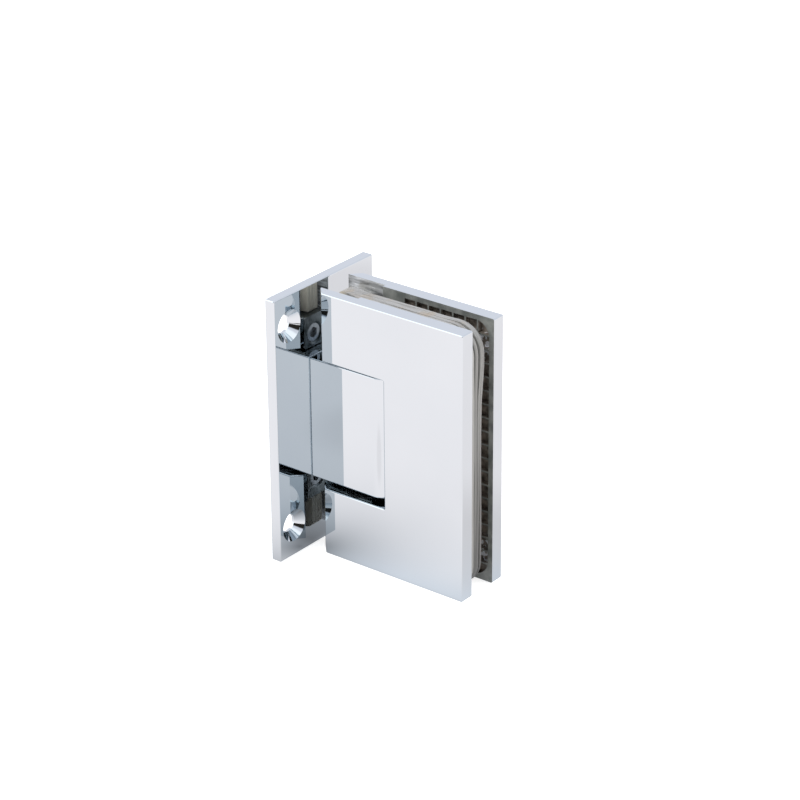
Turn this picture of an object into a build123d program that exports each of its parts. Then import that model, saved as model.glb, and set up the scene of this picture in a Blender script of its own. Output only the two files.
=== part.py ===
from build123d import *
import math
import os

os.makedirs("parts", exist_ok=True)

# Square glass door hinge, wall plate to glass clamp, sizes in millimetres.
# The origin is the middle of the wall plate's back face. +X points from the
# wall into the door, +Z is up along the pivot pin, and -Y is the front.

# Wall plate
hinge_height = 90.0
wall_plate_width = 48.5
wall_plate_thickness = 3.5
wall_screw_spacing_y = 34.5
wall_screw_spacing_z = 69.0
wall_screw_hole_radius = 2.9
wall_countersink_radius = 5.4

# Pivot block that stands on the wall plate
block_height = 41.2
block_thickness = 16.0
pin_offset = 16.0
block_nose = 14.5
block_corner_round = 5.6
block_foot_round = 0.6
nose_gap = 0.7
ledge_gap = 1.45

# Clamp plates
clamp_width = 57.1
clamp_plate_thickness = 5.0
clamp_gap = 10.8
clamp_wall_gap = 4.3
plate_corner_round = 0.5
nose_cut_length = 3.0
nose_cut_depth = 3.3
nose_flat = 0.4
edge_round = 0.45

# Waffle field inside each clamp plate
field_border = 1.5
field_corner_round = 6.0
cell_pitch = 4.6
cell_rib = 0.55
cell_depth = 1.6
wide_columns = 5
arm_columns = 2
arm_rows = 2

# Smooth pocket inside each arm, open at its pivot end and at the plate's edge
pocket_length = 14.6
pocket_depth = 1.3

# Lugs that hold the ends of the pin
lug_length = 17.6
lug_height = 10.7
lug_block_gap = 0.3
lug_plate_gap = 0.3
lug_edge_round = 1.2

# Pivot pin
pin_radius = 5.0
pin_flat_depth = 0.7
pin_end_radius = 4.0
pin_end_inset = 0.4
pin_seat_flat = 0.6

# Flanged bushes in the block
bush_wall = 1.2
bush_length = 8.2
bush_flange_radius = 6.8
bush_flange_thickness = 1.0
bush_stand = 0.25

# Sprung follower behind the pin
follower_thickness = 3.5
follower_width = 10.8
follower_height = 18.8
follower_gap = 0.1
follower_travel = 0.7
spring_spacing = 9.4
spring_radius = 2.6
spring_wire_radius = 0.4
spring_turns = 5
spring_pocket_depth = 1.5

# Screws
block_screw_spacing = 30.6
block_screw_radius = 2.5
block_screw_head_radius = 4.7
block_screw_end_gap = 1.1
clamp_screw_radius = 2.5
clamp_screw_head_radius = 4.7
clamp_screw_from_pin = 14.0
clamp_screw_height = 27.2
clamp_screw_blind = 1.5
boss_radius = 4.2
set_screw_radius = 3.0
set_screw_height = 4.6
set_screw_mouth = 0.6
set_screw_inset = 0.5
socket_depth = 1.6
socket_share = 0.62

# Gaskets
gasket_sheet = 1.45
thin_gasket_sheet = 0.9
gasket_stand = 0.3
sheet_gap = 0.05
gasket_slit = 0.9
gasket_side_inset = 0.6
gasket_left_inset = 1.9
gasket_corner_round = 9.0
gasket_end_round = 2.5
gasket_notch_round = 2.0
gasket_seat_gap = 0.3
gasket_notch_gap = 2.3

# Clearances
running_gap = 0.05
fixed_gap = 0.02
thread_gap = 0.05
hole_gap = 0.2
head_sink = 0.15
pocket_gap = 0.3

# Places worked out from the sizes above
half_height = hinge_height / 2
wall_front = wall_plate_thickness
pin_x = wall_front + pin_offset
block_end = pin_x + block_nose
block_top = block_height / 2
notch_top = block_top + ledge_gap
notch_end = block_end + nose_gap
clamp_left = wall_front + clamp_wall_gap
clamp_right = clamp_left + clamp_width
plate_inner = clamp_gap / 2
plate_outer = plate_inner + clamp_plate_thickness
lug_bottom = block_top + lug_block_gap
lug_top = lug_bottom + lug_height
lug_right = clamp_left + lug_length
set_screw_z = block_top + set_screw_height
gasket_notch_top = lug_top + gasket_seat_gap
clamp_screw_x = pin_x + clamp_screw_from_pin
gasket_notch_end = clamp_screw_x + boss_radius + gasket_notch_gap
boss_end = plate_inner - lug_plate_gap
pin_flat = pin_radius - pin_flat_depth
pin_seat_x = pin_x - pin_end_radius + pin_seat_flat
block_half = block_thickness / 2


def brick(x0, x1, y0, y1, z0, z1):
    size = Box(x1 - x0, y1 - y0, z1 - z0)
    return Pos((x0 + x1) / 2, (y0 + y1) / 2, (z0 + z1) / 2) * size


def rod_x(x0, x1, y, z, radius):
    return Pos((x0 + x1) / 2, y, z) * Rot(0, 90, 0) * Cylinder(radius, x1 - x0)


def rod_y(x, y0, y1, z, radius):
    return Pos(x, (y0 + y1) / 2, z) * Rot(-90, 0, 0) * Cylinder(radius, y1 - y0)


def rod_z(x, y, z0, z1, radius):
    return Pos(x, y, (z0 + z1) / 2) * Cylinder(radius, z1 - z0)


def cone_x(x0, x1, y, z, radius0, radius1):
    return Pos((x0 + x1) / 2, y, z) * Rot(0, 90, 0) * Cone(radius0, radius1, x1 - x0)


def cone_y(x, y0, y1, z, radius0, radius1):
    return Pos(x, (y0 + y1) / 2, z) * Rot(-90, 0, 0) * Cone(radius0, radius1, y1 - y0)


def hexagon_x(x0, x1, y, z, radius):
    face = Plane(origin=(x0, y, z), z_dir=(1, 0, 0)) * RegularPolygon(radius, 6)
    return extrude(face, amount=x1 - x0)


def hexagon_y(x, y0, y1, z, radius):
    face = Plane(origin=(x, y0, z), z_dir=(0, 1, 0)) * RegularPolygon(radius, 6)
    return extrude(face, amount=y1 - y0)


def upright(outline, y0, y1):
    """Extrude an outline drawn in X and Z from y0 to y1."""
    face = Plane(origin=(0, y1, 0), x_dir=(1, 0, 0), z_dir=(0, -1, 0)) * outline
    return extrude(face, amount=y1 - y0)


def rectangle(x0, x1, z0, z1):
    return Pos((x0 + x1) / 2, (z0 + z1) / 2) * Rectangle(x1 - x0, z1 - z0)


def over_and_under(make):
    return [make(1), make(-1)]


def wall_plate():
    plate = brick(0, wall_front, -wall_plate_width / 2, wall_plate_width / 2, -half_height, half_height)
    plate = fillet(plate.edges().filter_by(Axis.X), plate_corner_round)
    plate = fillet(plate.faces().sort_by(Axis.X)[-1].edges(), edge_round)
    sink = wall_countersink_radius - wall_screw_hole_radius
    for y in (-wall_screw_spacing_y / 2, wall_screw_spacing_y / 2):
        for z in (-wall_screw_spacing_z / 2, wall_screw_spacing_z / 2):
            plate -= rod_x(-1, wall_front + 1, y, z, wall_screw_hole_radius)
            plate -= cone_x(wall_front - sink, wall_front, y, z,
                            wall_screw_hole_radius, wall_countersink_radius)
    hole = block_screw_radius + hole_gap
    head = block_screw_head_radius + hole_gap
    for z in (-block_screw_spacing / 2, block_screw_spacing / 2):
        plate -= rod_x(-1, wall_front + 1, 0, z, hole)
        plate -= cone_x(0, head - hole, 0, z, head, hole)
    return plate


def block_outline():
    """The block seen from above: far corners well rounded, corners on the wall plate just eased."""
    outline = Pos((wall_front + block_end) / 2, 0) * Rectangle(block_end - wall_front, block_thickness)
    far = outline.vertices().group_by(Axis.X)[-1]
    outline = fillet(far, min(block_corner_round, block_half - edge_round))
    foot = outline.vertices().group_by(Axis.X)[0]
    return fillet(foot, block_foot_round)


def pivot_block():
    block = extrude(Pos(0, 0, -block_top) * block_outline(), amount=block_height)
    rims = block.edges().filter_by(Axis.Z, reverse=True).group_by(Axis.Z)
    block = fillet(rims[-1] + rims[0], edge_round)
    bush_radius = pin_radius + running_gap + bush_wall + running_gap
    seat_depth = bush_flange_thickness - bush_stand
    block -= rod_z(pin_x, 0, -block_top - 1, block_top + 1, pin_radius + pocket_gap)
    for side in (1, -1):
        bush_end = side * (block_top - bush_length - running_gap)
        top = side * (block_top + 1)
        block -= rod_z(pin_x, 0, min(bush_end, top), max(bush_end, top), bush_radius)
        seat = side * (block_top - seat_depth)
        block -= rod_z(pin_x, 0, min(seat, top), max(seat, top), bush_flange_radius + running_gap)
    room_y = follower_width / 2 + follower_gap
    room_z = follower_height / 2 + follower_gap
    block -= brick(wall_front - 1, pin_x - pin_radius + follower_gap, -room_y, room_y, -room_z, room_z)
    for z in (-block_screw_spacing / 2, block_screw_spacing / 2):
        block -= rod_x(wall_front - 1, block_screw_end() + thread_gap, 0, z, block_screw_radius + thread_gap)
    return block


def block_screw_end():
    bush_radius = pin_radius + running_gap + bush_wall + running_gap
    return pin_x - bush_radius - block_screw_end_gap


def block_screw(side):
    z = side * block_screw_spacing / 2
    sink = block_screw_head_radius - block_screw_radius
    screw = rod_x(head_sink, block_screw_end(), 0, z, block_screw_radius)
    screw += cone_x(head_sink, head_sink + sink, 0, z, block_screw_head_radius, block_screw_radius)
    screw -= hexagon_x(head_sink, head_sink + socket_depth, 0, z, block_screw_radius * socket_share)
    return screw


def pin_bush(side):
    outer = pin_radius + running_gap + bush_wall
    flange_top = block_top + bush_stand
    bottom = block_top - bush_length
    bush = rod_z(pin_x, 0, bottom, flange_top, outer)
    bush += rod_z(pin_x, 0, flange_top - bush_flange_thickness, flange_top, bush_flange_radius)
    bush -= rod_z(pin_x, 0, bottom - 1, flange_top + 1, pin_radius + running_gap)
    if side < 0:
        bush = mirror(bush, about=Plane.XY)
    return bush


def pivot_pin():
    shoulder = block_top + bush_stand
    end = lug_top - pin_end_inset
    pin = rod_z(pin_x, 0, -shoulder, shoulder, pin_radius)
    waist = follower_height / 2 + follower_gap
    square = brick(pin_x - pin_flat, pin_x + pin_flat, -pin_flat, pin_flat, -waist, waist)
    band = rod_z(pin_x, 0, -waist, waist, pin_radius + 1)
    pin -= band - square
    pin += rod_z(pin_x, 0, -end, end, pin_end_radius)
    for side in (1, -1):
        low = min(side * lug_bottom, side * (lug_top + 1))
        high = max(side * lug_bottom, side * (lug_top + 1))
        pin -= brick(pin_x - pin_radius, pin_seat_x, -pin_radius, pin_radius, low, high)
    return pin


def follower_back():
    return pin_x - pin_radius - running_gap - follower_thickness


def cam_follower():
    back = follower_back()
    follower = brick(back, back + follower_thickness, -follower_width / 2, follower_width / 2,
                     -follower_height / 2, follower_height / 2)
    follower = fillet(follower.edges().filter_by(Axis.X), edge_round)
    for z in (-spring_spacing / 2, spring_spacing / 2):
        follower -= rod_x(back - 1, back + spring_pocket_depth, 0, z,
                          spring_radius + spring_wire_radius + pocket_gap)
    return follower


def follower_spring(side):
    start = wall_front + spring_wire_radius + fixed_gap
    end = follower_back() + spring_pocket_depth - follower_travel - running_gap - spring_wire_radius
    length = end - start
    path = Helix(length / spring_turns, length, spring_radius)
    wire = Plane(origin=path @ 0, z_dir=path % 0) * Circle(spring_wire_radius)
    coil = sweep(wire, path=path, is_frenet=True)
    return Pos(start, 0, side * spring_spacing / 2) * Rot(0, 90, 0) * coil


def clamp_outline():
    outline = rectangle(clamp_left, clamp_right, -half_height, half_height)
    outline -= rectangle(clamp_left - 1, notch_end, -notch_top, notch_top)
    rounded = outline.vertices().group_by(Axis.X)[1:]
    return fillet([corner for group in rounded for corner in group], plate_corner_round)


def nose_cut():
    """The slant at the plate's pivot end, which lets it pass the wall plate as the door turns."""
    depth = min(nose_cut_depth, clamp_plate_thickness - pocket_depth - nose_flat)
    slant = Polygon((clamp_left, plate_outer), (clamp_left, plate_outer - depth),
                    (clamp_left + nose_cut_length, plate_outer), align=None)
    return extrude(Pos(0, 0, -half_height) * slant, amount=hinge_height)


def waffle_cells():
    """Square pockets in a C round the glass cut-out, open on the inner face."""
    right = clamp_right - field_border
    top = half_height - field_border
    pitch_x = (right - gasket_notch_end) / wide_columns
    rows = round(2 * top / cell_pitch)
    pitch_z = 2 * top / rows
    cells = []
    for column in range(wide_columns + arm_columns):
        x1 = right - column * pitch_x - cell_rib / 2
        x0 = x1 - pitch_x + cell_rib
        for row in range(rows):
            in_arm = row < arm_rows or row >= rows - arm_rows
            if column < wide_columns or in_arm:
                z0 = -top + row * pitch_z + cell_rib / 2
                z1 = z0 + pitch_z - cell_rib
                cells.append(rectangle(x0, x1, z0, z1))
    field = rectangle(clamp_left, right, -top, top)
    corners = field.vertices().group_by(Axis.X)[-1]
    field = fillet(corners, field_corner_round)
    faces = Sketch() + cells
    return upright(field & faces, plate_inner, plate_inner + cell_depth)


def clamp_blank():
    """The rear plate's shape, with the outer face at +Y."""
    plate = upright(clamp_outline(), plate_inner, plate_outer) - nose_cut()
    flat = plate.faces().sort_by(Axis.Y)[-1]
    seams = flat.edges().group_by(Axis.X)[0]
    flat_and_slants = [face for face in plate.faces() if any(edge in seams for edge in face.edges())]
    rims = [edge for face in flat_and_slants for edge in face.edges().filter_by(Axis.Z, reverse=True)]
    rims += [edge for edge in flat.edges().filter_by(Axis.Z) if edge not in seams]
    plate = fillet(rims, edge_round)
    plate -= waffle_cells()
    for side in (1, -1):
        low = min(side * gasket_notch_top, side * (half_height + 1))
        high = max(side * gasket_notch_top, side * (half_height + 1))
        plate -= brick(clamp_left - 1, clamp_left + pocket_length,
                       plate_inner - 1, plate_inner + pocket_depth, low, high)
    return plate


def lug(side):
    low = min(side * lug_bottom, side * lug_top)
    high = max(side * lug_bottom, side * lug_top)
    body = brick(clamp_left, lug_right, -boss_end, plate_inner + edge_round, low, high)
    ends = body.edges().filter_by(Axis.X).group_by(Axis.Y)[0]
    return fillet(ends, lug_edge_round)


def rear_clamp_plate():
    plate = clamp_blank()
    for side in (1, -1):
        plate += lug(side)
        bore_low = min(side * (block_top - 1), side * (lug_top + 1))
        bore_high = max(side * (block_top - 1), side * (lug_top + 1))
        plate -= rod_z(pin_x, 0, bore_low, bore_high, pin_end_radius + fixed_gap)
        z = side * set_screw_z
        plate -= rod_x(clamp_left - 1, pin_x, 0, z, set_screw_radius + thread_gap)
        mouth = set_screw_radius + thread_gap
        plate -= cone_x(clamp_left, clamp_left + set_screw_mouth, 0, z,
                        mouth + set_screw_mouth, mouth)
        z = side * clamp_screw_height
        hole = clamp_screw_radius + hole_gap
        head = clamp_screw_head_radius + hole_gap
        plate -= rod_y(clamp_screw_x, plate_inner - 1, plate_outer + 1, z, hole)
        plate -= cone_y(clamp_screw_x, plate_outer - (head - hole), plate_outer, z, hole, head)
    return plate


def front_clamp_plate():
    plate = mirror(clamp_blank(), about=Plane.XZ)
    for side in (1, -1):
        z = side * clamp_screw_height
        plate += rod_y(clamp_screw_x, -plate_inner - edge_round, boss_end, z, boss_radius)
        plate -= rod_y(clamp_screw_x, -plate_outer + clamp_screw_blind, boss_end + 1, z,
                       clamp_screw_radius + thread_gap)
    return plate


def clamp_screw(side):
    z = side * clamp_screw_height
    top = plate_outer - head_sink
    sink = clamp_screw_head_radius - clamp_screw_radius
    screw = rod_y(clamp_screw_x, -plate_outer + clamp_screw_blind + pocket_gap, top, z, clamp_screw_radius)
    screw += cone_y(clamp_screw_x, top - sink, top, z, clamp_screw_radius, clamp_screw_head_radius)
    screw -= hexagon_y(clamp_screw_x, top - socket_depth, top, z, clamp_screw_radius * socket_share)
    return screw


def pin_set_screw(side):
    z = side * set_screw_z
    start = clamp_left + set_screw_inset
    screw = rod_x(start, pin_seat_x - fixed_gap, 0, z, set_screw_radius)
    screw -= hexagon_x(start, start + socket_depth, 0, z, set_screw_radius * socket_share)
    return screw


def gasket(y0, thickness):
    """A flat sheet with a cut-out for the block and lugs, from y0 towards the rear."""
    left = clamp_left + gasket_left_inset
    right = clamp_right - gasket_side_inset
    top = half_height - gasket_side_inset
    outline = rectangle(left, right, -top, top)
    outline = fillet(outline.vertices().group_by(Axis.X)[-1], gasket_corner_round)
    notch = rectangle(left - 1, gasket_notch_end, -gasket_notch_top, gasket_notch_top)
    notch = fillet(notch.vertices().group_by(Axis.X)[-1], gasket_notch_round)
    outline -= notch
    ends = outline.vertices().group_by(Axis.X)[0]
    outline = fillet(ends, min(gasket_end_round, (top - gasket_notch_top) / 2.1))
    return upright(outline, y0, y0 + thickness)


front_sheet_y = -plate_inner + gasket_stand
front_inner_y = front_sheet_y + gasket_sheet + sheet_gap
rear_inner_y = front_inner_y + gasket_sheet + gasket_slit
rear_sheet_y = rear_inner_y + thin_gasket_sheet + sheet_gap

nodes = {
    "wall_plate": wall_plate(),
    "pivot_block": pivot_block(),
    "cam_follower": cam_follower(),
    "pivot_pin": pivot_pin(),
    "front_clamp_plate": front_clamp_plate(),
    "rear_clamp_plate": rear_clamp_plate(),
    "front_gasket_outer": gasket(front_sheet_y, gasket_sheet),
    "front_gasket_inner": gasket(front_inner_y, gasket_sheet),
    "rear_gasket_inner": gasket(rear_inner_y, thin_gasket_sheet),
    "rear_gasket_outer": gasket(rear_sheet_y, thin_gasket_sheet),
}
pairs = {
    "block_screw": block_screw,
    "pin_bush": pin_bush,
    "follower_spring": follower_spring,
    "pin_set_screw": pin_set_screw,
    "clamp_screw": clamp_screw,
}
for name, make in pairs.items():
    nodes[name + "_upper"] = make(1)
    nodes[name + "_lower"] = make(-1)

for name, shape in nodes.items():
    export_step(shape, "parts/" + name + ".step")
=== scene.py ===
import bpy
import math
from mathutils import Matrix, Vector


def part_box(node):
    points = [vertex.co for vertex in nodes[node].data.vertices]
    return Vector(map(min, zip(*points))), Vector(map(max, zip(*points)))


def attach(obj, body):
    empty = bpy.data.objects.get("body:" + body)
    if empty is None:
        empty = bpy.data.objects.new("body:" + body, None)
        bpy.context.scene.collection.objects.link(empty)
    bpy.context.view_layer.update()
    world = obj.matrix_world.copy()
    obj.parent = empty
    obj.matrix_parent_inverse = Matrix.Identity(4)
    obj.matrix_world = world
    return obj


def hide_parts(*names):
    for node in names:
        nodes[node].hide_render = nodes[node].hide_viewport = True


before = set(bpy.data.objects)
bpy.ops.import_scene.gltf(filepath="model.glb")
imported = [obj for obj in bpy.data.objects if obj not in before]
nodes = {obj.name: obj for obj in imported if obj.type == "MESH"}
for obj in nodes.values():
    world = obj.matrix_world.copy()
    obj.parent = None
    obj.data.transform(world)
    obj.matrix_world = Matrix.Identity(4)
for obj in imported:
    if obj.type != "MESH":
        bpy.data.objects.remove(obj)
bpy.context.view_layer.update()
scene = bpy.context.scene
print("frame loaded,", len(nodes), "pieces")


# camera, found from the photo's corners; place in metres, angles in degrees, lens and sensor in mm
camera = {"place": (0.52537, -0.62760, 0.38597), "turn": 38.112, "tilt": 25.157, "roll": -0.434,
          "lens": 128.14, "sensor": 36.0, "near": 0.01, "far": 50.0}


def addCamera():
    data = bpy.data.cameras.new("studioCamera")
    data.lens = camera["lens"]
    data.sensor_width = camera["sensor"]
    data.clip_start = camera["near"]
    data.clip_end = camera["far"]
    cameraObject = bpy.data.objects.new("studioCamera", data)
    scene.collection.objects.link(cameraObject)
    spin = Matrix.Rotation(math.radians(camera["turn"]), 4, "Z")
    lean = Matrix.Rotation(math.radians(90 - camera["tilt"]), 4, "X")
    roll = Matrix.Rotation(math.radians(camera["roll"]), 4, "Z")
    cameraObject.matrix_world = Matrix.Translation(camera["place"]) @ spin @ lean @ roll
    scene.camera = cameraObject


addCamera()
scene.view_settings.view_transform = "Standard"
print("camera placed")


# small helpers for selecting and for node trees
def clearSelection():
    if bpy.context.object and bpy.context.object.mode != "OBJECT":
        bpy.ops.object.mode_set(mode="OBJECT")
    bpy.ops.object.select_all(action="DESELECT")


def pickUp(piece):
    clearSelection()
    piece.select_set(True)
    bpy.context.view_layer.objects.active = piece


def addMath(tree, kind, first, second=None, third=None):
    node = tree.nodes.new("ShaderNodeMath")
    node.operation = kind
    for socket, value in zip(node.inputs, (first, second, third)):
        if value is None:
            continue
        if isinstance(value, (int, float)):
            socket.default_value = value
        else:
            tree.links.new(value, socket)
    return node.outputs[0]


def addVector(tree, kind, first, second=None, result="Vector"):
    node = tree.nodes.new("ShaderNodeVectorMath")
    node.operation = kind
    for socket, value in zip(node.inputs, (first, second)):
        if value is None:
            continue
        if isinstance(value, (tuple, Vector)):
            socket.default_value = value
        else:
            tree.links.new(value, socket)
    return node.outputs[result]


def addRange(tree, value, low, high, fromLow=0.0, fromHigh=1.0, kind="LINEAR"):
    node = tree.nodes.new("ShaderNodeMapRange")
    node.interpolation_type = kind
    node.inputs["From Min"].default_value = fromLow
    node.inputs["From Max"].default_value = fromHigh
    node.inputs["To Min"].default_value = low
    node.inputs["To Max"].default_value = high
    tree.links.new(value, node.inputs["Value"])
    return node.outputs[0]


def mixColour(tree, share, first, second, kind="MIX"):
    mix = tree.nodes.new("ShaderNodeMixRGB")
    mix.blend_type = kind
    for socket, value in zip(mix.inputs, (share, first, second)):
        if isinstance(value, tuple):
            socket.default_value = (*value, 1)
        elif isinstance(value, float):
            socket.default_value = value
        else:
            tree.links.new(value, socket)
    return mix.outputs[0]


# what polished metal sees above the floor: a pale ceiling with soft patches, angles in degrees
ceiling = (1.011, 1.001, 1.077)
skyPatches = {
    "softBox": {"towards": (-0.56, -0.43, 0.71), "inner": 20, "outer": 30, "colour": (1.9, 1.9, 1.92)},
    "frontStrip": {"towards": (-0.57, -0.81, 0.17), "inner": 12, "outer": 22, "colour": (1.7, 1.7, 1.72)},
    "overhead": {"towards": (0.55, 0.10, 0.82), "inner": 18, "outer": 34, "colour": (1.45, 1.46, 1.5)},
    "darkRoom": {"towards": (0.82, -0.55, 0.10), "inner": 13, "outer": 21, "colour": (0.03, 0.026, 0.022)},
    "photographer": {"towards": (0.56, -0.71, 0.43), "inner": 10, "outer": 20, "colour": (0.25, 0.25, 0.26)},
}
skyLevel = {"background": 1.0, "fill": 0.80}


def makeWorld():
    world = bpy.data.worlds.new("studio")
    scene.world = world
    world.use_nodes = True
    tree = world.node_tree
    tree.nodes.clear()
    out = tree.nodes.new("ShaderNodeOutputWorld")
    coords = tree.nodes.new("ShaderNodeTexCoord")
    painted = tree.nodes.new("ShaderNodeBackground")
    current = ceiling
    for patch in skyPatches.values():
        dot = addVector(tree, "DOT_PRODUCT", coords.outputs["Generated"],
                        Vector(patch["towards"]).normalized(), "Value")
        edge = math.cos(math.radians(patch["outer"]))
        full = math.cos(math.radians(patch["inner"]))
        share = addRange(tree, dot, 0, 1, edge, full, "SMOOTHSTEP")
        current = mixColour(tree, share, current, patch["colour"])
    tree.links.new(current, painted.inputs[0])
    plain = tree.nodes.new("ShaderNodeBackground")
    plain.inputs[0].default_value = (1, 1, 1, 1)
    plain.inputs[1].default_value = skyLevel["fill"]
    white = tree.nodes.new("ShaderNodeBackground")
    white.inputs[0].default_value = (1, 1, 1, 1)
    white.inputs[1].default_value = skyLevel["background"]
    rays = tree.nodes.new("ShaderNodeLightPath")
    shiny = tree.nodes.new("ShaderNodeMixShader")
    tree.links.new(rays.outputs["Is Glossy Ray"], shiny.inputs[0])
    tree.links.new(plain.outputs[0], shiny.inputs[1])
    tree.links.new(painted.outputs[0], shiny.inputs[2])
    seen = tree.nodes.new("ShaderNodeMixShader")
    clear = addMath(tree, "MAXIMUM", rays.outputs["Is Camera Ray"], rays.outputs["Is Transmission Ray"])
    tree.links.new(clear, seen.inputs[0])
    tree.links.new(shiny.outputs[0], seen.inputs[1])
    tree.links.new(white.outputs[0], seen.inputs[2])
    tree.links.new(seen.outputs[0], out.inputs[0])


makeWorld()

# pale floor under the hinge; the polished metal sees it brighter, with painted shadow round the hinge's foot
floorPlan = {"size": 8.0, "height": -0.0452, "colour": (0.80, 0.80, 0.80), "glow": 0.70,
             "sheen": (1.39, 1.286, 1.28), "paintedShadowTint": (1.29, 1.29, 1.36), "foot": (0.0325, 0.0, 0.0),
             "footHalf": (0.034, 0.013, 1.0), "wideShade": 0.02, "wideReach": 0.060, "nearShade": 0.03,
             "nearReach": 0.015, "underLeft": 0.42, "underEdge": 0.008, "corner": (0.006, -0.012, 0.0),
             "cornerShade": 0.76, "cornerReach": 0.017}
# painted shade on the floor as the metal sees it, and the dark beyond the table's end: middle and radii in
# metres, and how much light is left
floorShades = {
    "rightShade": {"middle": (0.140, 0.090, 0.0), "inner": 0.060, "outer": 0.200, "left": 0.90},
    "rearShade": {"middle": (0.128, 0.170, 0.0), "inner": 0.010, "outer": 0.030, "left": 0.92},
    "sideShade": {"middle": (0.085, 0.020, 0.0), "inner": 0.014, "outer": 0.060, "left": 0.82},
    "blockShade": {"middle": (0.040, -0.088, 0.0), "inner": 0.012, "outer": 0.030, "left": 0.90},
    "tableEnd": {"middle": (0.66, -0.46, 0.0), "inner": 0.24, "outer": 0.34, "left": 0.05},
}
lamps = {
    "frontBox": {"place": (-0.25, -0.55, 0.75), "size": 0.45, "power": 6.0},
    "rightFill": {"place": (0.75, 0.35, 0.55), "size": 0.60, "power": 4.0},
}
lampTarget = Vector((0.03, 0.0, 0.0))


def addSpotDistance(tree, coords, middle):
    flat = addVector(tree, "MULTIPLY", coords, (1.0, 1.0, 0.0))
    return addVector(tree, "LENGTH", addVector(tree, "SUBTRACT", flat, middle), None, "Value")


def fadeAway(tree, distance, reach):
    return addMath(tree, "EXPONENT", addMath(tree, "DIVIDE", distance, -reach))


# the floor's brightness as the metal sees it, with painted shadow round the foot, under the clamp and in the
# corner between the plates, tinted bluer near the foot
def floorSheenWithPaintedShadow(tree, coords):
    away = addVector(tree, "SUBTRACT", coords, floorPlan["foot"])
    beyond = addVector(tree, "SUBTRACT", addVector(tree, "ABSOLUTE", away), floorPlan["footHalf"])
    outside = addVector(tree, "MAXIMUM", beyond, (0.0, 0.0, 0.0))
    distance = addVector(tree, "LENGTH", outside, None, "Value")
    near = fadeAway(tree, distance, floorPlan["nearReach"])
    light = addMath(tree, "MULTIPLY_ADD", fadeAway(tree, distance, floorPlan["wideReach"]),
                    -floorPlan["wideShade"], 1.0)
    light = addMath(tree, "MULTIPLY_ADD", near, -floorPlan["nearShade"], light)
    parts = tree.nodes.new("ShaderNodeSeparateXYZ")
    tree.links.new(beyond, parts.inputs[0])
    inward = addMath(tree, "MAXIMUM", parts.outputs[0], parts.outputs[1])
    under = addRange(tree, inward, floorPlan["underLeft"], 1.0, -floorPlan["underEdge"], 0.0, "SMOOTHSTEP")
    light = addMath(tree, "MULTIPLY", light, under)
    corner = fadeAway(tree, addSpotDistance(tree, coords, floorPlan["corner"]), floorPlan["cornerReach"])
    inCorner = addMath(tree, "MULTIPLY_ADD", corner, -floorPlan["cornerShade"], 1.0)
    light = addMath(tree, "MULTIPLY", light, inCorner)
    for shade in floorShades.values():
        spot = addSpotDistance(tree, coords, shade["middle"])
        left = addRange(tree, spot, shade["left"], 1.0, shade["inner"], shade["outer"], "SMOOTHSTEP")
        light = addMath(tree, "MULTIPLY", light, left)
    return light, mixColour(tree, near, floorPlan["sheen"], floorPlan["paintedShadowTint"])


def makeFloor():
    clearSelection()
    bpy.ops.mesh.primitive_plane_add(size=floorPlan["size"], location=(0, 0, floorPlan["height"]))
    bpy.ops.object.transform_apply(location=True)
    floor = bpy.context.object
    floor.name = "studioFloor"
    paint = bpy.data.materials.new("paleFloor")
    paint.use_nodes = True
    tree = paint.node_tree
    tree.nodes.clear()
    out = tree.nodes.new("ShaderNodeOutputMaterial")
    coords = tree.nodes.new("ShaderNodeTexCoord").outputs["Object"]
    matt = tree.nodes.new("ShaderNodeBsdfDiffuse")
    matt.inputs[0].default_value = (*floorPlan["colour"], 1)
    glow = tree.nodes.new("ShaderNodeEmission")
    glow.inputs[0].default_value = (1, 1, 1, 1)
    glow.inputs[1].default_value = floorPlan["glow"]
    both = tree.nodes.new("ShaderNodeAddShader")
    tree.links.new(matt.outputs[0], both.inputs[0])
    tree.links.new(glow.outputs[0], both.inputs[1])
    sheen = tree.nodes.new("ShaderNodeEmission")
    light, tint = floorSheenWithPaintedShadow(tree, coords)
    tree.links.new(tint, sheen.inputs[0])
    tree.links.new(light, sheen.inputs[1])
    rays = tree.nodes.new("ShaderNodeLightPath")
    clear = addMath(tree, "MAXIMUM", rays.outputs["Is Camera Ray"], rays.outputs["Is Transmission Ray"])
    seen = tree.nodes.new("ShaderNodeMixShader")
    tree.links.new(clear, seen.inputs[0])
    tree.links.new(matt.outputs[0], seen.inputs[1])
    tree.links.new(both.outputs[0], seen.inputs[2])
    mirrored = tree.nodes.new("ShaderNodeMixShader")
    tree.links.new(rays.outputs["Is Glossy Ray"], mirrored.inputs[0])
    tree.links.new(seen.outputs[0], mirrored.inputs[1])
    tree.links.new(sheen.outputs[0], mirrored.inputs[2])
    tree.links.new(mirrored.outputs[0], out.inputs[0])
    floor.data.materials.append(paint)


def makeLamps():
    for name, lamp in lamps.items():
        data = bpy.data.lights.new(name, "AREA")
        data.shape = "SQUARE"
        data.size = lamp["size"]
        data.energy = lamp["power"]
        lampObject = bpy.data.objects.new(name, data)
        scene.collection.objects.link(lampObject)
        place = Vector(lamp["place"])
        lampObject.rotation_euler = (lampTarget - place).to_track_quat("-Z", "Y").to_euler()
        lampObject.location = place
        lampObject.visible_glossy = False


makeFloor()
makeLamps()
print("studio ready")


# shared parts of the materials
def newMaterial(name):
    material = bpy.data.materials.new(name)
    material.use_nodes = True
    tree = material.node_tree
    shader = tree.nodes["Principled BSDF"]
    coords = tree.nodes.new("ShaderNodeTexCoord")
    return material, tree, shader, coords.outputs["Object"]


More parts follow.
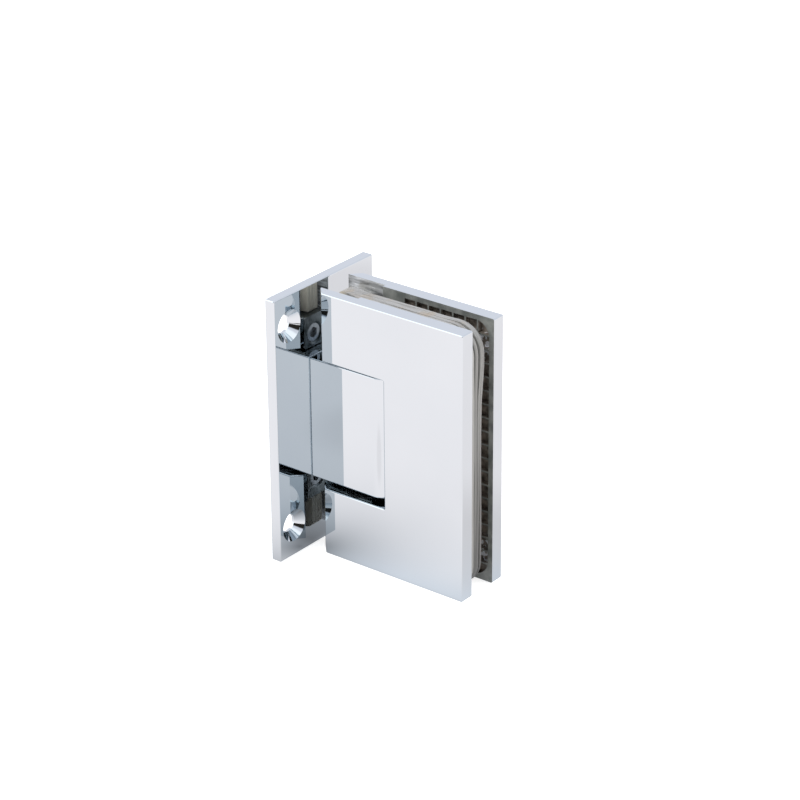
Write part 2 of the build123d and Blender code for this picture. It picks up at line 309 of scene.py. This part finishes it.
def addNoise(tree, coords, scale, detail, stretch=(1, 1, 1)):
    mapping = tree.nodes.new("ShaderNodeMapping")
    mapping.inputs["Scale"].default_value = stretch
    tree.links.new(coords, mapping.inputs[0])
    noise = tree.nodes.new("ShaderNodeTexNoise")
    noise.inputs["Scale"].default_value = scale
    noise.inputs["Detail"].default_value = detail
    tree.links.new(mapping.outputs[0], noise.inputs["Vector"])
    return noise.outputs[0]


def addBump(tree, height, strength, distance, before=None):
    bump = tree.nodes.new("ShaderNodeBump")
    bump.inputs["Strength"].default_value = strength
    bump.inputs["Distance"].default_value = distance
    tree.links.new(height, bump.inputs["Height"])
    if before is not None:
        tree.links.new(before, bump.inputs["Normal"])
    return bump.outputs[0]


def addTone(tree, noise, look):
    share = addRange(tree, noise, 0, 1, look["toneFrom"], look["toneTo"])
    return mixColour(tree, share, look["dark"], look["light"])


def linkRough(tree, shader, noise, look):
    rough = addRange(tree, noise, look["roughLow"], look["roughHigh"])
    tree.links.new(rough, shader.inputs["Roughness"])


# polished chrome plate
chromeLook = {"colour": (0.588, 0.643, 0.678), "smear": (0.574, 0.629, 0.666), "smearFrom": 0.42,
              "smearTo": 0.62, "roughLow": 0.010, "roughHigh": 0.030, "roughFrom": 0.35, "roughTo": 0.70,
              "cloudScale": 22, "cloudDetail": 4.0, "waveScale": 38, "waveDetail": 1.0, "waveBump": 0.04,
              "waveDepth": 0.00002, "grainScale": 900, "grainDetail": 3.0, "grainBump": 0.02,
              "grainDepth": 0.000004}


def chromeMaterial():
    material, tree, shader, coords = newMaterial("mirrorChrome")
    waves = addNoise(tree, coords, chromeLook["waveScale"], chromeLook["waveDetail"])
    grain = addNoise(tree, coords, chromeLook["grainScale"], chromeLook["grainDetail"])
    cloud = addNoise(tree, coords, chromeLook["cloudScale"], chromeLook["cloudDetail"])
    share = addRange(tree, cloud, 0, 1, chromeLook["smearFrom"], chromeLook["smearTo"])
    colour = mixColour(tree, share, chromeLook["colour"], chromeLook["smear"])
    tree.links.new(colour, shader.inputs["Base Color"])
    rough = addRange(tree, cloud, chromeLook["roughLow"], chromeLook["roughHigh"],
                     chromeLook["roughFrom"], chromeLook["roughTo"])
    tree.links.new(rough, shader.inputs["Roughness"])
    shader.inputs["Metallic"].default_value = 1
    bump = addBump(tree, waves, chromeLook["waveBump"], chromeLook["waveDepth"])
    bump = addBump(tree, grain, chromeLook["grainBump"], chromeLook["grainDepth"], bump)
    tree.links.new(bump, shader.inputs["Normal"])
    return material


# unpolished plating on the plates' inner faces: satin, with fine upright scratches
satinLook = {"dark": (0.21, 0.225, 0.215), "light": (0.40, 0.415, 0.395), "toneFrom": 0.35, "toneTo": 0.65,
             "roughLow": 0.26, "roughHigh": 0.42, "metallic": 0.45, "patchScale": 240, "patchDetail": 4.0,
             "scratchScale": 2600, "scratchDetail": 3.0, "scratchStretch": (1, 1, 0.06),
             "scratchBump": 0.35, "scratchDepth": 0.00003}


def satinMaterial():
    material, tree, shader, coords = newMaterial("satinInside")
    patches = addNoise(tree, coords, satinLook["patchScale"], satinLook["patchDetail"])
    scratches = addNoise(tree, coords, satinLook["scratchScale"], satinLook["scratchDetail"],
                         satinLook["scratchStretch"])
    tree.links.new(addTone(tree, patches, satinLook), shader.inputs["Base Color"])
    linkRough(tree, shader, scratches, satinLook)
    shader.inputs["Metallic"].default_value = satinLook["metallic"]
    bump = addBump(tree, scratches, satinLook["scratchBump"], satinLook["scratchDepth"])
    tree.links.new(bump, shader.inputs["Normal"])
    return material


# plated over but never polished: the smooth pockets in the arms, with streaks along them in bumps and
# roughness, and dark-to-light streaks in the colour that are a painted reflection
pocketLook = {"dark": (0.20, 0.205, 0.21), "light": (0.90, 0.92, 0.94), "toneFrom": 0.36, "toneTo": 0.64,
              "roughLow": 0.16, "roughHigh": 0.34, "metallic": 0.5, "streakScale": 620,
              "streakDetail": 3.0, "streakStretch": (0.22, 1, 1), "streakBump": 0.6,
              "streakDepth": 0.00022}


def pocketMaterial():
    material, tree, shader, coords = newMaterial("pocketWithPaintedReflection")
    streaks = addNoise(tree, coords, pocketLook["streakScale"], pocketLook["streakDetail"],
                       pocketLook["streakStretch"])
    tree.links.new(addTone(tree, streaks, pocketLook), shader.inputs["Base Color"])
    linkRough(tree, shader, streaks, pocketLook)
    shader.inputs["Metallic"].default_value = pocketLook["metallic"]
    bump = addBump(tree, streaks, pocketLook["streakBump"], pocketLook["streakDepth"])
    tree.links.new(bump, shader.inputs["Normal"])
    return material


# bare casting in the waffle cells and on the lugs; the cells' dark brown is partly the casting and partly
# painted shade of the deep pockets
castLook = {
    "cells": {"dark": (0.110, 0.094, 0.080), "light": (0.32, 0.28, 0.24), "toneFrom": 0.36, "toneTo": 0.66,
              "roughLow": 0.22, "roughHigh": 0.50, "metallic": 0.40, "patchScale": 420, "grainScale": 1700,
              "patchDepth": 0.00024, "grainDepth": 0.00012},
    "lugs": {"dark": (0.13, 0.145, 0.145), "light": (0.30, 0.32, 0.32), "toneFrom": 0.36, "toneTo": 0.66,
             "roughLow": 0.28, "roughHigh": 0.50, "metallic": 1.0, "patchScale": 260, "grainScale": 1100,
             "patchDepth": 0.00032, "grainDepth": 0.00016},
}
castGrain = {"patchDetail": 5.0, "grainDetail": 3.0, "bump": 0.5}


# painted glints: pale flecks of plating caught in the cells near the plates' outer corners, painted bright;
# lengths in metres
paintedGlints = {"middle": (0.0605, 0.0, 0.0350), "inner": 0.0030, "outer": 0.0065, "scale": 620, "detail": 1.0,
          "from": 0.52, "to": 0.58, "colour": (0.86, 0.88, 0.92)}


def addPaintedGlints(tree, coords, before):
    upright = addVector(tree, "MULTIPLY", addVector(tree, "ABSOLUTE", coords), (1.0, 0.0, 1.0))
    away = addVector(tree, "LENGTH", addVector(tree, "SUBTRACT", upright, paintedGlints["middle"]), None, "Value")
    near = addRange(tree, away, 1.0, 0.0, paintedGlints["inner"], paintedGlints["outer"], "SMOOTHSTEP")
    noise = addNoise(tree, coords, paintedGlints["scale"], paintedGlints["detail"])
    spots = addRange(tree, noise, 0, 1, paintedGlints["from"], paintedGlints["to"])
    return mixColour(tree, addMath(tree, "MULTIPLY", near, spots), before, paintedGlints["colour"])


def castMaterial(kind):
    look = castLook[kind]
    material, tree, shader, coords = newMaterial("cast" + kind.capitalize())
    patches = addNoise(tree, coords, look["patchScale"], castGrain["patchDetail"])
    grain = addNoise(tree, coords, look["grainScale"], castGrain["grainDetail"])
    body = addTone(tree, patches, look)
    # the cells get the painted glints
    if kind == "cells":
        body = addPaintedGlints(tree, coords, body)
    tree.links.new(body, shader.inputs["Base Color"])
    linkRough(tree, shader, grain, look)
    shader.inputs["Metallic"].default_value = look["metallic"]
    bump = addBump(tree, patches, castGrain["bump"], look["patchDepth"])
    bump = addBump(tree, grain, castGrain["bump"], look["grainDepth"], bump)
    tree.links.new(bump, shader.inputs["Normal"])
    return material


# plain turned or ground metals and the moulded bushes
turnedLook = {
    "screwSteel": {"dark": (0.36, 0.37, 0.38), "light": (0.55, 0.56, 0.57), "metallic": 1.0,
                   "roughLow": 0.22, "roughHigh": 0.38, "scale": 900, "stretch": (1, 1, 1), "depth": 0.00002},
    "pinSteel": {"dark": (0.50, 0.51, 0.52), "light": (0.64, 0.65, 0.66), "metallic": 1.0,
                 "roughLow": 0.12, "roughHigh": 0.26, "scale": 1400, "stretch": (0.15, 0.15, 1),
                 "depth": 0.00001},
    "springSteel": {"dark": (0.22, 0.23, 0.25), "light": (0.40, 0.41, 0.43), "metallic": 1.0,
                    "roughLow": 0.20, "roughHigh": 0.35, "scale": 1200, "stretch": (1, 1, 1),
                    "depth": 0.00001},
    "followerBrass": {"dark": (0.60, 0.45, 0.20), "light": (0.80, 0.64, 0.34), "metallic": 1.0,
                      "roughLow": 0.20, "roughHigh": 0.36, "scale": 1100, "stretch": (0.1, 1, 1),
                      "depth": 0.00002},
    "bushNylon": {"dark": (0.030, 0.030, 0.032), "light": (0.060, 0.060, 0.063), "metallic": 0.0,
                  "roughLow": 0.38, "roughHigh": 0.52, "scale": 700, "stretch": (1, 1, 1),
                  "depth": 0.00003},
}
turnedGrain = {"grainDetail": 4.0, "patchDetail": 3.0, "patchSize": 6, "toneFrom": 0.35, "toneTo": 0.65,
               "bump": 0.4}


def turnedMaterial(kind):
    look = {**turnedGrain, **turnedLook[kind]}
    material, tree, shader, coords = newMaterial(kind)
    grain = addNoise(tree, coords, look["scale"], look["grainDetail"], look["stretch"])
    patches = addNoise(tree, coords, look["scale"] / look["patchSize"], look["patchDetail"])
    tree.links.new(addTone(tree, patches, look), shader.inputs["Base Color"])
    linkRough(tree, shader, grain, look)
    shader.inputs["Metallic"].default_value = look["metallic"]
    tree.links.new(addBump(tree, grain, look["bump"], look["depth"]), shader.inputs["Normal"])
    return material


plateMaterials = {"chrome": chromeMaterial(), "satin": satinMaterial(), "cells": castMaterial("cells"),
                  "lugs": castMaterial("lugs"), "pocket": pocketMaterial()}
print("metals mixed")


# the four chrome pieces: the solids' own faces, joined up and shaded as true flats and rounds
polish = {"joinWithin": 0.0000012, "flatWithin": 0.15, "smoothUnder": 40.0, "flatWeight": 100}


def joinedCopy(node, name):
    piece = bpy.data.objects.new(name, nodes[node].data.copy())
    scene.collection.objects.link(piece)
    pickUp(piece)
    bpy.ops.mesh.customdata_custom_splitnormals_clear()
    bpy.ops.object.mode_set(mode="EDIT")
    bpy.ops.mesh.select_all(action="SELECT")
    bpy.ops.mesh.remove_doubles(threshold=polish["joinWithin"])
    bpy.ops.mesh.dissolve_limited(angle_limit=math.radians(polish["flatWithin"]))
    bpy.ops.object.mode_set(mode="OBJECT")
    bpy.ops.object.shade_smooth_by_angle(angle=math.radians(polish["smoothUnder"]))
    flats = piece.modifiers.new("flats", "WEIGHTED_NORMAL")
    flats.weight = polish["flatWeight"]
    flats.keep_sharp = True
    bpy.ops.object.modifier_apply(modifier="flats")
    return piece


# where each finish lies on a clamp plate, in metres: depth from the clamp's middle plane, X and height
plateSides = {"innerFace": 0.0054, "cellFloor": 0.0070, "pocketStart": 0.0080, "pocketEnd": 0.0225,
              "lugTop": 0.0317, "noseEnd": 0.0095, "notchTop": 0.0222, "notchEnd": 0.0348, "rimTop": 0.0449,
              "rimEnd": 0.0648, "slack": 0.00004}


def plateFinish(side, centre):
    depth = centre.y * side
    slack = plateSides["slack"]
    along, up = centre.x, abs(centre.z)
    if depth < plateSides["innerFace"] - slack:
        return "lugs"
    if depth < plateSides["innerFace"] + slack:
        return "satin"
    onRim = up > plateSides["rimTop"] or along > plateSides["rimEnd"] or along < plateSides["noseEnd"]
    inNotch = up < plateSides["notchTop"] and along < plateSides["notchEnd"]
    if depth > plateSides["cellFloor"] + slack or onRim or inNotch:
        return "chrome"
    if plateSides["pocketStart"] < along < plateSides["pocketEnd"] and up > plateSides["lugTop"]:
        return "pocket"
    return "cells"


def polishPiece(node, name, body, side=0):
    piece = joinedCopy(node, name)
    piece.data.materials.clear()
    for material in plateMaterials.values():
        piece.data.materials.append(material)
    finishes = list(plateMaterials)
    for face in piece.data.polygons:
        finish = plateFinish(side, face.center) if side else "chrome"
        face.material_index = finishes.index(finish)
    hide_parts(node)
    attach(piece, body)


polishPiece("wall_plate", "polished_wall_plate", "wall_side")
polishPiece("pivot_block", "polished_pivot_block", "wall_side")
polishPiece("front_clamp_plate", "polished_front_plate", "door_side", -1)
polishPiece("rear_clamp_plate", "polished_rear_plate", "door_side", 1)
print("chrome pieces polished")

# the small parts keep their solids' own meshes
smallParts = {
    "screwSteel": ("block_screw_upper", "block_screw_lower", "clamp_screw_upper", "clamp_screw_lower",
                   "pin_set_screw_upper", "pin_set_screw_lower"),
    "springSteel": ("follower_spring_upper", "follower_spring_lower"),
    "bushNylon": ("pin_bush_upper", "pin_bush_lower"),
    "pinSteel": ("pivot_pin",),
    "followerBrass": ("cam_follower",),
}


def finishSmallParts():
    for kind, names in smallParts.items():
        finish = turnedMaterial(kind)
        for name in names:
            nodes[name].data.materials.clear()
            nodes[name].data.materials.append(finish)


finishSmallParts()
print("small parts finished")


# soft plastic sheets that line the clamp, loose and splayed; lengths in metres
gasketPlan = {"notchEnd": 0.0400, "notchTop": 0.0319, "cornerRound": 0.0090, "endRound": 0.0025,
              "middle": 0.0300, "cell": 0.0017, "rim": 0.00010, "rimSegments": 2, "rimOver": 60.0,
              "smoothUnder": 50.0, "splayReach": 0.0150, "armDrop": 0.14, "sideStart": 0.0500,
              "sideEnd": 0.0610, "slitStart": 0.0180, "slitEnd": 0.0330}
# slow waves in each sheet: height in metres, and turns in radians for each metre along X and up
gasketWaves = {"upright": {"height": 0.00012, "alongTurn": 0, "upTurn": 130, "shift": 1},
               "slanted": {"height": 0.00008, "alongTurn": 210, "upTurn": 60, "shift": 2}}
# for each sheet: thickness, its middle's Y at the right side's top and bottom, along the top edge and at
# the left end, and where its waves start
gasketSheets = {
    "front_gasket_outer": {"thick": 0.00158, "top": -0.00431, "bottom": -0.00435, "along": -0.00431,
                           "left": -0.00010, "wave": 0.3},
    "front_gasket_inner": {"thick": 0.00158, "top": -0.00248, "bottom": -0.00270, "along": -0.00266,
                           "left": 0.00140, "wave": 1.9},
    "rear_gasket_inner": {"thick": 0.00102, "top": -0.00022, "bottom": -0.00136, "along": -0.00128,
                          "left": 0.00262, "wave": 3.1},
    "rear_gasket_outer": {"thick": 0.00102, "top": 0.00092, "bottom": -0.00028, "along": -0.00020,
                          "left": 0.00360, "wave": 4.4},
}
gasketLook = {"dark": (0.18, 0.18, 0.172), "light": (0.32, 0.32, 0.308), "toneFrom": 0.38, "toneTo": 0.62,
              "layerScale": 900, "layerDetail": 3.0, "layerStretch": (0.03, 1, 0.03), "smudgeScale": 160,
              "smudgeDetail": 4.0, "roughLow": 0.30, "roughHigh": 0.55, "through": 0.12, "bump": 0.5,
              "depth": 0.00005}
# painted shade: the sheets darken downwards; painted light: the front one is paler, and their ends by the
# wall are a paler tan
gasketPaintedShadeAndLight = {"lowest": -0.040, "highest": 0.034, "lowLeft": 0.42, "front": (0.45, 0.45, 0.43),
              "frontFace": -0.0040, "frontEnd": -0.0033, "frontShare": 0.6, "tanPaintedLight": (0.62, 0.56, 0.46),
              "tanPaintedLightEnd": 0.0105, "tanPaintedLightStart": 0.0150}
# painted light on the edges that face up: paler grey and tan, with fine dark lines
gasketTopPaintedLight = {"grey": (0.35, 0.355, 0.36), "tan": (0.37, 0.325, 0.275), "tanFrom": 0.50, "tanTo": 0.66,
              "lineScale": 2600, "lineDetail": 2.0, "lineLeft": 0.30, "lineFrom": 0.38, "lineTo": 0.50,
              "cover": 0.9, "coverFrom": 0.35, "coverTo": 0.90}


def paintSheetShadeAndLight(tree, coords, body):
    parts = tree.nodes.new("ShaderNodeSeparateXYZ")
    tree.links.new(coords, parts.inputs[0])
    along, across, up = parts.outputs
    # painted shade: darker towards the bottom of the gap
    light = addRange(tree, up, gasketPaintedShadeAndLight["lowLeft"], 1.0, gasketPaintedShadeAndLight["lowest"], gasketPaintedShadeAndLight["highest"])
    body = mixColour(tree, light, (0.0, 0.0, 0.0), body)
    # painted light: the front sheet, shaded by the front plate, is mixed towards a paler grey
    front = addRange(tree, across, gasketPaintedShadeAndLight["frontShare"], 0.0, gasketPaintedShadeAndLight["frontFace"],
                     gasketPaintedShadeAndLight["frontEnd"], "SMOOTHSTEP")
    body = mixColour(tree, front, body, gasketPaintedShadeAndLight["front"])
    # painted light: the ends by the wall turn a paler tan
    tanPaintedLight = addRange(tree, along, 1.0, 0.0, gasketPaintedShadeAndLight["tanPaintedLightEnd"], gasketPaintedShadeAndLight["tanPaintedLightStart"], "SMOOTHSTEP")
    return mixColour(tree, tanPaintedLight, body, gasketPaintedShadeAndLight["tanPaintedLight"])


def paintSheetTopLight(tree, coords, smudges, body):
    tanned = addRange(tree, smudges, 0, 1, gasketTopPaintedLight["tanFrom"], gasketTopPaintedLight["tanTo"])
    topPaintedLight = mixColour(tree, tanned, gasketTopPaintedLight["grey"], gasketTopPaintedLight["tan"])
    lines = addNoise(tree, coords, gasketTopPaintedLight["lineScale"], gasketTopPaintedLight["lineDetail"],
                     gasketLook["layerStretch"])
    clear = addRange(tree, lines, gasketTopPaintedLight["lineLeft"], 1.0, gasketTopPaintedLight["lineFrom"], gasketTopPaintedLight["lineTo"])
    topPaintedLight = mixColour(tree, clear, gasketLook["dark"], topPaintedLight)
    # painted light: faces that point up take the paler top colour
    surface = tree.nodes.new("ShaderNodeNewGeometry")
    upwards = addVector(tree, "DOT_PRODUCT", surface.outputs["Normal"], (0.0, 0.0, 1.0), "Value")
    share = addRange(tree, upwards, 0, gasketTopPaintedLight["cover"], gasketTopPaintedLight["coverFrom"], gasketTopPaintedLight["coverTo"])
    return mixColour(tree, share, body, topPaintedLight)


def gasketMaterial():
    material, tree, shader, coords = newMaterial("softSheet")
    layers = addNoise(tree, coords, gasketLook["layerScale"], gasketLook["layerDetail"],
                      gasketLook["layerStretch"])
    smudges = addNoise(tree, coords, gasketLook["smudgeScale"], gasketLook["smudgeDetail"])
    body = paintSheetShadeAndLight(tree, coords, addTone(tree, layers, gasketLook))
    tree.links.new(paintSheetTopLight(tree, coords, smudges, body), shader.inputs["Base Color"])
    linkRough(tree, shader, smudges, gasketLook)
    shader.inputs["Transmission Weight"].default_value = gasketLook["through"]
    bump = addBump(tree, layers, gasketLook["bump"], gasketLook["depth"])
    tree.links.new(bump, shader.inputs["Normal"])
    return material


def ease(share):
    share = min(1.0, max(0.0, share))
    return share * share * (3 - 2 * share)


def spread(breaks):
    values = [breaks[0]]
    for start, end in zip(breaks, breaks[1:]):
        cells = max(2, round((end - start) / gasketPlan["cell"]))
        values += [start + (end - start) * step / cells for step in range(1, cells + 1)]
    return values


def roundCorner(x, z, cornerX, cornerZ, radius):
    towardsX = math.copysign(1, cornerX - gasketPlan["middle"])
    towardsZ = math.copysign(1, cornerZ)
    u = (x - (cornerX - towardsX * radius)) * towardsX / radius
    v = (z - (cornerZ - towardsZ * radius)) * towardsZ / radius
    if u <= 0 or v <= 0:
        return x, z
    pull = max(u, v) / math.hypot(u, v)
    return (cornerX - towardsX * radius * (1 - u * pull), cornerZ - towardsZ * radius * (1 - v * pull))


def sheetDepth(x, z, splay, sheet):
    slit = ease((z - gasketPlan["slitStart"]) / (gasketPlan["slitEnd"] - gasketPlan["slitStart"]))
    right = sheet["bottom"] + (sheet["top"] - sheet["bottom"]) * slit
    side = ease((x - gasketPlan["sideStart"]) / (gasketPlan["sideEnd"] - gasketPlan["sideStart"]))
    right = sheet["along"] + (right - sheet["along"]) * side
    ripple = 0
    for wave in gasketWaves.values():
        turn = x * wave["alongTurn"] + z * wave["upTurn"] + sheet["wave"] * wave["shift"]
        ripple += wave["height"] * math.sin(turn)
    return right + (sheet["left"] - right) * splay + ripple * (1 - splay)


def sheetPlace(x, z, low, high, sheet):
    notchTop = gasketPlan["notchTop"]
    for end in (low.z, high.z):
        x, z = roundCorner(x, z, high.x, end, gasketPlan["cornerRound"])
        x, z = roundCorner(x, z, low.x, end, gasketPlan["endRound"])
    nearEnd = 1 - (x - low.x) / gasketPlan["splayReach"]
    if z > notchTop:
        z = notchTop + (z - notchTop) * (1 - gasketPlan["armDrop"] * max(0.0, nearEnd))
    return x, sheetDepth(x, z, ease(nearEnd), sheet), z


def flatSheet(node, low, high):
    cornerRound, endRound = gasketPlan["cornerRound"], gasketPlan["endRound"]
    xs = spread([low.x, low.x + endRound, gasketPlan["notchEnd"], high.x - cornerRound, high.x])
    upperHalf = [gasketPlan["notchTop"], high.z - cornerRound, high.z - endRound, high.z]
    zs = spread([-z for z in reversed(upperHalf)] + upperHalf)
    clearSelection()
    bpy.ops.mesh.primitive_grid_add(x_subdivisions=len(xs) - 1, y_subdivisions=len(zs) - 1, size=2)
    piece = bpy.context.object
    piece.name = node.replace("gasket", "sheet")
    for vertex in piece.data.vertices:
        column = round((vertex.co.x + 1) / 2 * (len(xs) - 1))
        row = round((vertex.co.y + 1) / 2 * (len(zs) - 1))
        vertex.co = (xs[column], 0, zs[row])
    return piece


def cutNotch(piece):
    bpy.ops.object.mode_set(mode="EDIT")
    bpy.ops.mesh.select_mode(type="FACE")
    bpy.ops.mesh.select_all(action="DESELECT")
    bpy.ops.object.mode_set(mode="OBJECT")
    for face in piece.data.polygons:
        inNotch = face.center.x < gasketPlan["notchEnd"] and abs(face.center.z) < gasketPlan["notchTop"]
        face.select = inNotch
    bpy.ops.object.mode_set(mode="EDIT")
    bpy.ops.mesh.delete(type="FACE")
    bpy.ops.object.mode_set(mode="OBJECT")


def thickenSheet(piece, thick):
    body = piece.modifiers.new("body", "SOLIDIFY")
    body.thickness = thick
    body.offset = 0
    rim = piece.modifiers.new("rim", "BEVEL")
    rim.width = gasketPlan["rim"]
    rim.segments = gasketPlan["rimSegments"]
    rim.limit_method = "ANGLE"
    rim.angle_limit = math.radians(gasketPlan["rimOver"])
    bpy.ops.object.modifier_apply(modifier="body")
    bpy.ops.object.modifier_apply(modifier="rim")
    bpy.ops.object.mode_set(mode="EDIT")
    bpy.ops.mesh.select_all(action="SELECT")
    bpy.ops.mesh.normals_make_consistent(inside=False)
    bpy.ops.object.mode_set(mode="OBJECT")
    bpy.ops.object.shade_smooth_by_angle(angle=math.radians(gasketPlan["smoothUnder"]))


def hangSheet(node, sheet, material):
    low, high = (Vector(corner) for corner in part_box(node))
    piece = flatSheet(node, low, high)
    cutNotch(piece)
    for vertex in piece.data.vertices:
        vertex.co = sheetPlace(vertex.co.x, vertex.co.z, low, high, sheet)
    thickenSheet(piece, sheet["thick"])
    piece.data.materials.append(material)
    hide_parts(node)
    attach(piece, "door_side")


softSheet = gasketMaterial()
for sheetNode, sheetSizes in gasketSheets.items():
    hangSheet(sheetNode, sheetSizes, softSheet)
print("gasket sheets hung")
